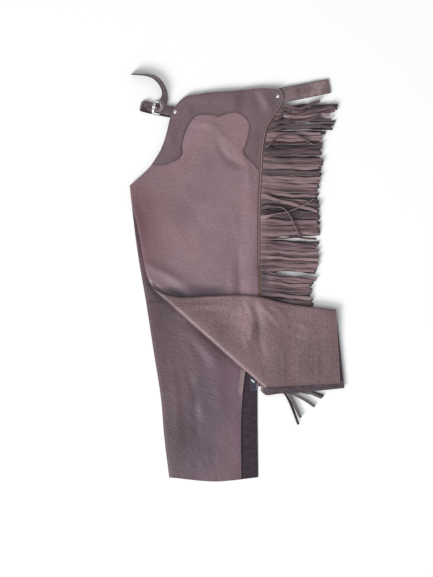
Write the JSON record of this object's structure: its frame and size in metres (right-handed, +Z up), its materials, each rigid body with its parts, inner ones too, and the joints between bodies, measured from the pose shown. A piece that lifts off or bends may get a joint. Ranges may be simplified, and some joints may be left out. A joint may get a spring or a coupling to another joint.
{
  "type": "pair of leather chaps, folded flat",
  "caption": "Fringed leather chaps folded down the middle and laid flat, with scalloped yoke, outseam fringe, back belt and front buckle strap; the upper shin is folded over.",
  "frame": {"origin": "centre of the bounding box's bottom, on the surface the pair lies on", "axes": "+Y up the legs from the hem to the waist, +X from the inseam to the fringe of the outseam, +Z up from the surface"},
  "size_m": [0.5566, 1.0601, 0.0249],
  "materials": {
    "leg_over_thigh": "smooth mauve-brown grain leather, suede inside",
    "leg_over_shin": "smooth mauve-brown grain leather, suede inside",
    "leg_under_thigh": "smooth mauve-brown grain leather, suede inside",
    "leg_under_shin": "smooth darker brown grain leather, suede inside",
    "yoke_over": "smooth leather, edge stitched",
    "yoke_under": "smooth leather, edge stitched",
    "fringe_over": "cut leather strands, raw edges",
    "fringe_under": "cut leather strands, raw edges",
    "belt_back": "smooth strap leather",
    "strap_buckle": "smooth strap leather",
    "strap_tongue": "smooth strap leather with holes",
    "zip_over": "woven zip tape",
    "zip_under": "woven zip tape",
    "zip_guard": "smooth leather facing strip",
    "zip_box": "white metal",
    "buckle_frame": "polished white metal",
    "buckle_prong": "polished white metal",
    "rivet_front": "polished white metal",
    "rivet_hip": "polished white metal"
  },
  "bodies": {
    "root": {"leg_over_thigh": "leg_over_thigh", "leg_over_shin": "leg_over_shin", "leg_under_thigh": "leg_under_thigh", "leg_under_shin": "leg_under_shin", "yoke_over": "yoke_over", "yoke_under": "yoke_under", "fringe_over": "fringe_over", "fringe_under": "fringe_under", "belt_back": "belt_back", "strap_buckle": "strap_buckle", "strap_tongue": "strap_tongue", "zip_over": "zip_over", "zip_under": "zip_under", "zip_guard": "zip_guard", "zip_box": "zip_box", "buckle_frame": "buckle_frame", "buckle_prong": "buckle_prong", "rivet_front": "rivet_front", "rivet_hip": "rivet_hip"}
  },
  "joints": []
}
